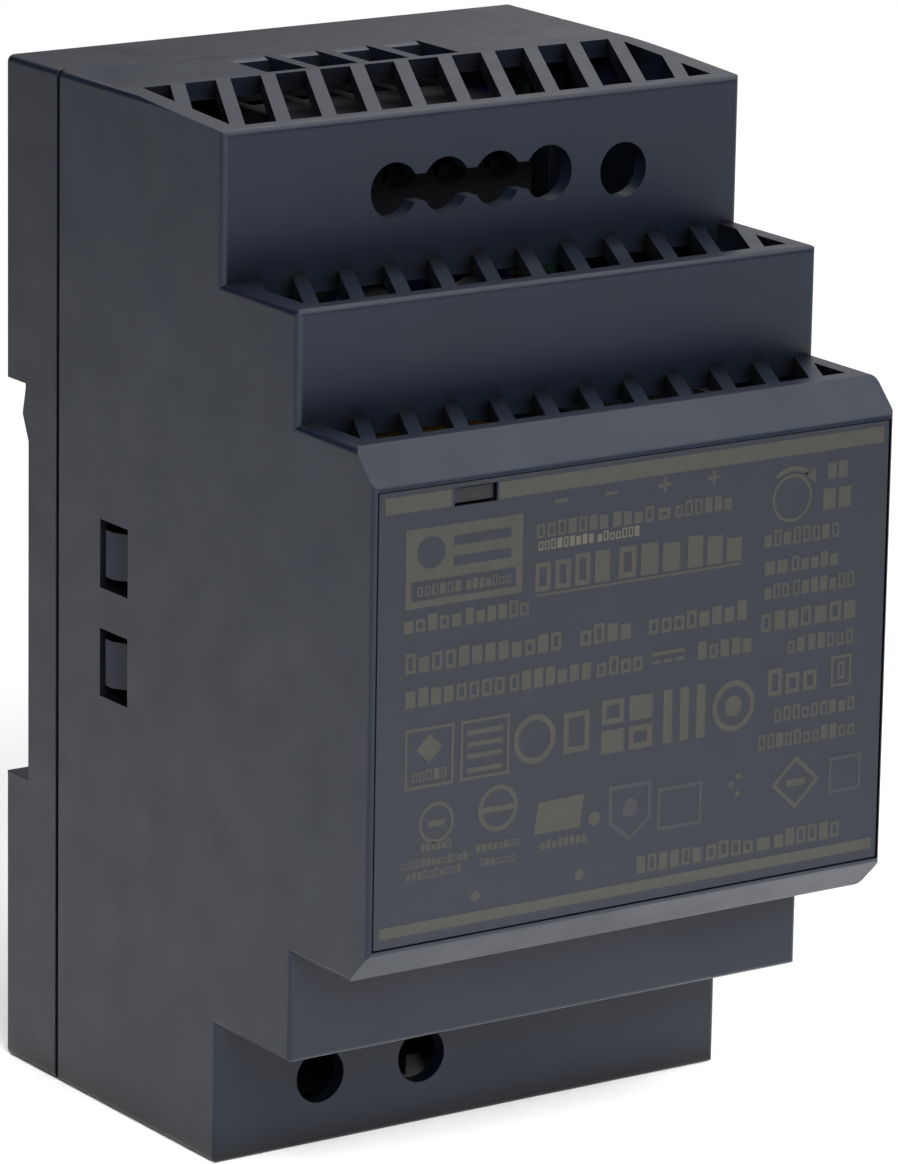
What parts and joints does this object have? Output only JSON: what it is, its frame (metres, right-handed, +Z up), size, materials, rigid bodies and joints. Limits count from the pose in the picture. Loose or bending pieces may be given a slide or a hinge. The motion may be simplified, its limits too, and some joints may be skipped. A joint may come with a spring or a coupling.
{
  "type": "din rail power supply",
  "caption": "Slim power supply in a stepped, louvred plastic housing that clips on a mounting rail, with screw terminals above and below a flat label.",
  "frame": {"origin": "centre line of the mounting rail, in the plane where the rail's flanges rest on the back of the housing, midway across the width", "axes": "+X to the right seen from the front, +Y backwards out of the housing into the rail, +Z up"},
  "size_m": [0.0524, 0.0575, 0.09],
  "materials": {
    "housing": "fine matt texture",
    "label_film": "printed film, satin",
    "light_pipe": "clear, slightly cloudy",
    "latch": "matt",
    "spring_steel": "bright drawn wire",
    "terminal_plastic": "matt",
    "contact_brass": "tinned at the pin",
    "plated_steel": "zinc plated",
    "trimmer_case": "matt",
    "white_plastic": "matt",
    "circuit_board": "solder mask, satin",
    "insulating_film": "pressed paper",
    "black_epoxy": "moulded, matt",
    "blue_lacquer": "dipped lacquer",
    "dark_lacquer": "dipped lacquer",
    "yellow_plastic": "moulded box",
    "ferrite": "ground, dull",
    "powder_core": "painted",
    "copper_wire": "enamelled",
    "capacitor_sleeve": "shrink sleeve",
    "winding_tape": "polyester tape",
    "heatsink": "mill finish",
    "led_lens": "tinted resin"
  },
  "bodies": {
    "housing": {"rear_base": "housing", "front_housing": "housing", "front_label": "label_film", "light_pipe": "light_pipe", "latch_spring": "spring_steel", "output_terminal_block": "terminal_plastic", "input_terminal_block": "terminal_plastic", "output_contacts": "contact_brass", "input_contacts": "contact_brass", "voltage_trimmer": "trimmer_case", "main_board": "circuit_board", "insulating_sheet": "insulating_film", "fuse": "black_epoxy", "varistor": "blue_lacquer", "inrush_thermistor": "dark_lacquer", "interference_capacitor": "yellow_plastic", "choke_core": "ferrite", "choke_windings": "copper_wire", "bridge_rectifier": "black_epoxy", "bulk_capacitor": "capacitor_sleeve", "transformer_core": "ferrite", "transformer_bobbin": "terminal_plastic", "transformer_winding": "winding_tape", "power_transistor": "black_epoxy", "primary_heatsink": "heatsink", "output_diode": "black_epoxy", "secondary_heatsink": "heatsink", "heatsink_screws": "plated_steel", "output_capacitors": "capacitor_sleeve", "inductor_core": "powder_core", "inductor_winding": "copper_wire", "safety_capacitor": "blue_lacquer", "optocoupler": "white_plastic", "controller_chip": "black_epoxy", "indicator_led": "led_lens"},
    "rail_latch": {"rail_latch": "latch"},
    "trimmer_rotor": {"trimmer_rotor": "white_plastic"},
    "output_screw_1": {"output_screw_1": "plated_steel"},
    "output_clamp_1": {"output_clamp_1": "plated_steel"},
    "output_screw_2": {"output_screw_2": "plated_steel"},
    "output_clamp_2": {"output_clamp_2": "plated_steel"},
    "output_screw_3": {"output_screw_3": "plated_steel"},
    "output_clamp_3": {"output_clamp_3": "plated_steel"},
    "output_screw_4": {"output_screw_4": "plated_steel"},
    "output_clamp_4": {"output_clamp_4": "plated_steel"},
    "input_screw_1": {"input_screw_1": "plated_steel"},
    "input_clamp_1": {"input_clamp_1": "plated_steel"},
    "input_screw_2": {"input_screw_2": "plated_steel"},
    "input_clamp_2": {"input_clamp_2": "plated_steel"}
  },
  "joints": [
    {"name": "latch_slide", "type": "slide", "parent": "housing", "child": "rail_latch", "axis": [0, 0, -1], "range_m": [0, 0.005], "stiffness_N_per_m": 400, "springref_m": -0.005, "deforming": ["latch_spring"]},
    {"name": "trimmer_turn", "type": "hinge", "parent": "housing", "child": "trimmer_rotor", "pos_m": [0.01405, -0.0099, 0.038], "axis": [0, 1, 0], "range_deg": [-135, 135]},
    {"name": "output_screw_1_turn", "type": "hinge", "parent": "housing", "child": "output_screw_1", "pos_m": [-0.0093, -0.0189, 0.0385], "axis": [0, 1, 0], "range_deg": [0, 2401]},
    {"name": "output_clamp_1_rise", "type": "slide", "parent": "housing", "child": "output_clamp_1", "axis": [0, -1, 0], "range_m": [0, 0.003]},
    {"name": "output_screw_2_turn", "type": "hinge", "parent": "housing", "child": "output_screw_2", "pos_m": [-0.0041, -0.0189, 0.0385], "axis": [0, 1, 0], "range_deg": [0, 2401]},
    {"name": "output_clamp_2_rise", "type": "slide", "parent": "housing", "child": "output_clamp_2", "axis": [0, -1, 0], "range_m": [0, 0.003]},
    {"name": "output_screw_3_turn", "type": "hinge", "parent": "housing", "child": "output_screw_3", "pos_m": [0.0011, -0.0189, 0.0385], "axis": [0, 1, 0], "range_deg": [0, 2401]},
    {"name": "output_clamp_3_rise", "type": "slide", "parent": "housing", "child": "output_clamp_3", "axis": [0, -1, 0], "range_m": [0, 0.003]},
    {"name": "output_screw_4_turn", "type": "hinge", "parent": "housing", "child": "output_screw_4", "pos_m": [0.0063, -0.0189, 0.0385], "axis": [0, 1, 0], "range_deg": [0, 2401]},
    {"name": "output_clamp_4_rise", "type": "slide", "parent": "housing", "child": "output_clamp_4", "axis": [0, -1, 0], "range_m": [0, 0.003]},
    {"name": "input_screw_1_turn", "type": "hinge", "parent": "housing", "child": "input_screw_1", "pos_m": [-0.01565, -0.0189, -0.0379], "axis": [0, 1, 0], "range_deg": [0, 2401]},
    {"name": "input_clamp_1_rise", "type": "slide", "parent": "housing", "child": "input_clamp_1", "axis": [0, -1, 0], "range_m": [0, 0.003]},
    {"name": "input_screw_2_turn", "type": "hinge", "parent": "housing", "child": "input_screw_2", "pos_m": [-0.00525, -0.0189, -0.0379], "axis": [0, 1, 0], "range_deg": [0, 2401]},
    {"name": "input_clamp_2_rise", "type": "slide", "parent": "housing", "child": "input_clamp_2", "axis": [0, -1, 0], "range_m": [0, 0.003]}
  ],
  "couplings": [
    {"joint": "output_screw_1_turn", "follows": "output_clamp_1_rise", "rad_per_m": 13963},
    {"joint": "output_screw_2_turn", "follows": "output_clamp_2_rise", "rad_per_m": 13963},
    {"joint": "output_screw_3_turn", "follows": "output_clamp_3_rise", "rad_per_m": 13963},
    {"joint": "output_screw_4_turn", "follows": "output_clamp_4_rise", "rad_per_m": 13963},
    {"joint": "input_screw_1_turn", "follows": "input_clamp_1_rise", "rad_per_m": 13963},
    {"joint": "input_screw_2_turn", "follows": "input_clamp_2_rise", "rad_per_m": 13963}
  ]
}
